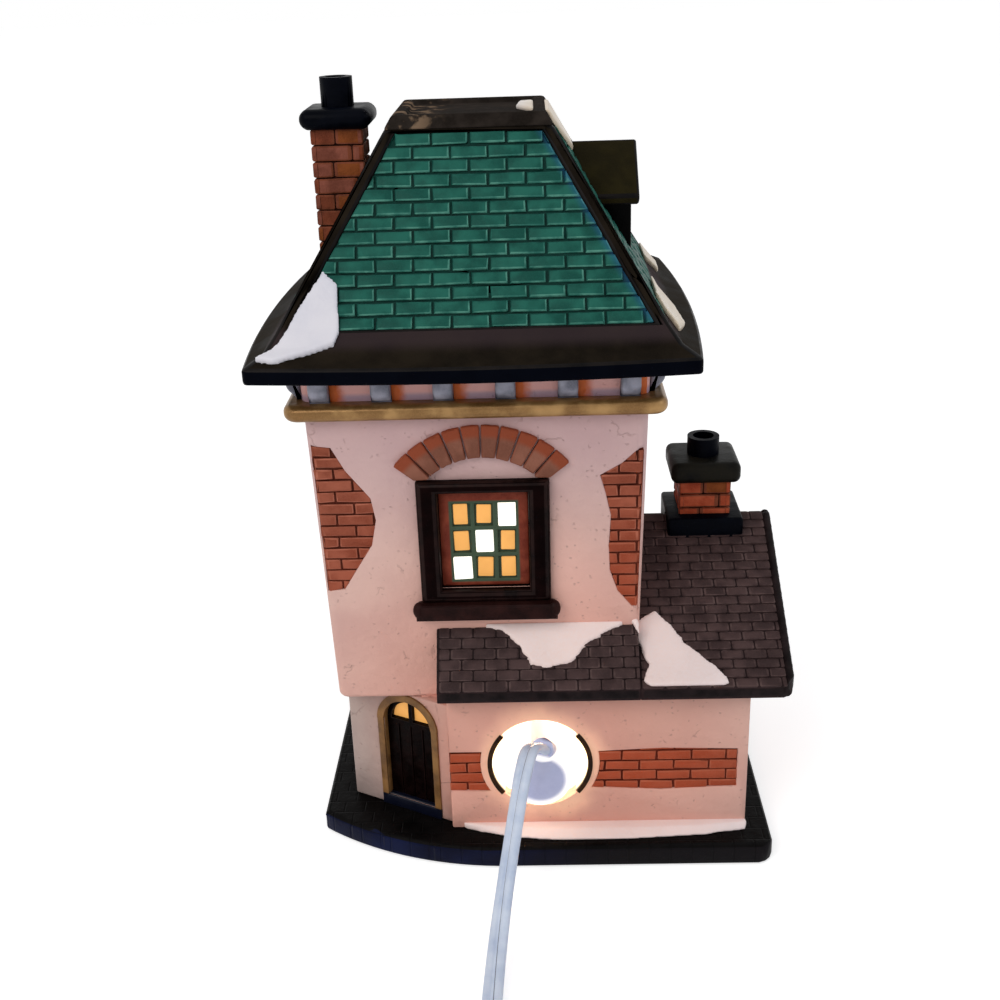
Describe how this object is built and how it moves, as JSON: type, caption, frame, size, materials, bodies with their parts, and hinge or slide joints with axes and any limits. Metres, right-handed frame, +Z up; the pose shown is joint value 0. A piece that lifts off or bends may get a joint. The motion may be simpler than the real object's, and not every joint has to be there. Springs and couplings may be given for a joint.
{
  "type": "ceramic village house",
  "caption": "Lighted ceramic winter village house with a steep slate roof, side wing and chimneys, and a corded lamp that clips into a round hole in its rear wall.",
  "frame": {"origin": "under the middle of the house on the surface it stands on, measured without the cord", "axes": "+Z up, -Y out of the rear wall with the lamp hole, +X towards the wing with the gable"},
  "size_m": [0.1491, 0.2901, 0.214],
  "materials": {
    "base_glaze": "satin",
    "plaster": "satin",
    "brick": "matte",
    "annex_slate": "satin",
    "roof_trim": "gloss",
    "green_slate": "satin",
    "gold_glaze": "satin",
    "bracket_glaze": "satin",
    "pot_glaze": "gloss",
    "snow": "gloss",
    "casing_glaze": "gloss",
    "sash_glaze": "satin",
    "door_glaze": "gloss",
    "amber_film": "translucent",
    "white_plastic": "satin",
    "cord_skin": "satin",
    "brass": "polished",
    "lamp_glass": "clear",
    "lamp_wire": "bright"
  },
  "bodies": {
    "house": {"base_slab": "base_glaze", "tower_ground_walls": "plaster", "annex_rear_wall": "plaster", "annex_gable_walls": "plaster", "upper_storey": "plaster", "annex_brick_band": "brick", "brick_patches": "brick", "rear_window_arch": "brick", "front_window_arch": "brick", "main_chimney_stack": "brick", "annex_chimney_stack": "brick", "annex_roof": "annex_slate", "pent_roof": "annex_slate", "main_roof": "roof_trim", "roof_deck": "roof_trim", "dormer_roof": "roof_trim", "dormer_body": "roof_trim", "main_chimney_cap": "roof_trim", "annex_chimney_flashing": "roof_trim", "annex_chimney_cap": "roof_trim", "slates_rear": "green_slate", "slates_front": "green_slate", "slates_left": "green_slate", "slates_right": "green_slate", "cornice_moulding": "gold_glaze", "rear_door_surround": "gold_glaze", "front_door_surround": "gold_glaze", "cornice_brackets": "bracket_glaze", "main_chimney_pot": "pot_glaze", "annex_chimney_pot": "pot_glaze", "main_roof_snow": "snow", "annex_snow": "snow", "rear_window_frame": "casing_glaze", "front_window_frame": "casing_glaze", "rear_window_sill": "casing_glaze", "front_window_sill": "casing_glaze", "dormer_window": "casing_glaze", "rear_window_sash": "sash_glaze", "front_window_sash": "sash_glaze", "rear_door_leaf": "door_glaze", "front_door_leaf": "door_glaze", "rear_window_film": "amber_film", "front_window_film": "amber_film", "rear_door_film": "amber_film", "front_door_film": "amber_film"},
    "light_set": {"socket_body": "white_plastic", "socket_screw_shell": "brass", "socket_centre_contact": "brass", "spring_clips": "brass", "cord_lead": "cord_skin", "cord_coil": "cord_skin", "coil_tie": "white_plastic", "plug_body": "white_plastic", "plug_blades": "brass"},
    "bulb": {"bulb_base": "brass", "bulb_glass": "lamp_glass", "bulb_filament": "lamp_wire"}
  },
  "joints": [
    {"name": "lamp_holder_pull", "type": "slide", "parent": "house", "child": "light_set", "axis": [0, -1, 0], "range_m": [0, 0.06]},
    {"name": "bulb_turn", "type": "hinge", "parent": "light_set", "child": "bulb", "pos_m": [0.0022, -0.045, 0.02865], "axis": [0, 1, 0], "range_deg": [0, 1080]}
  ]
}
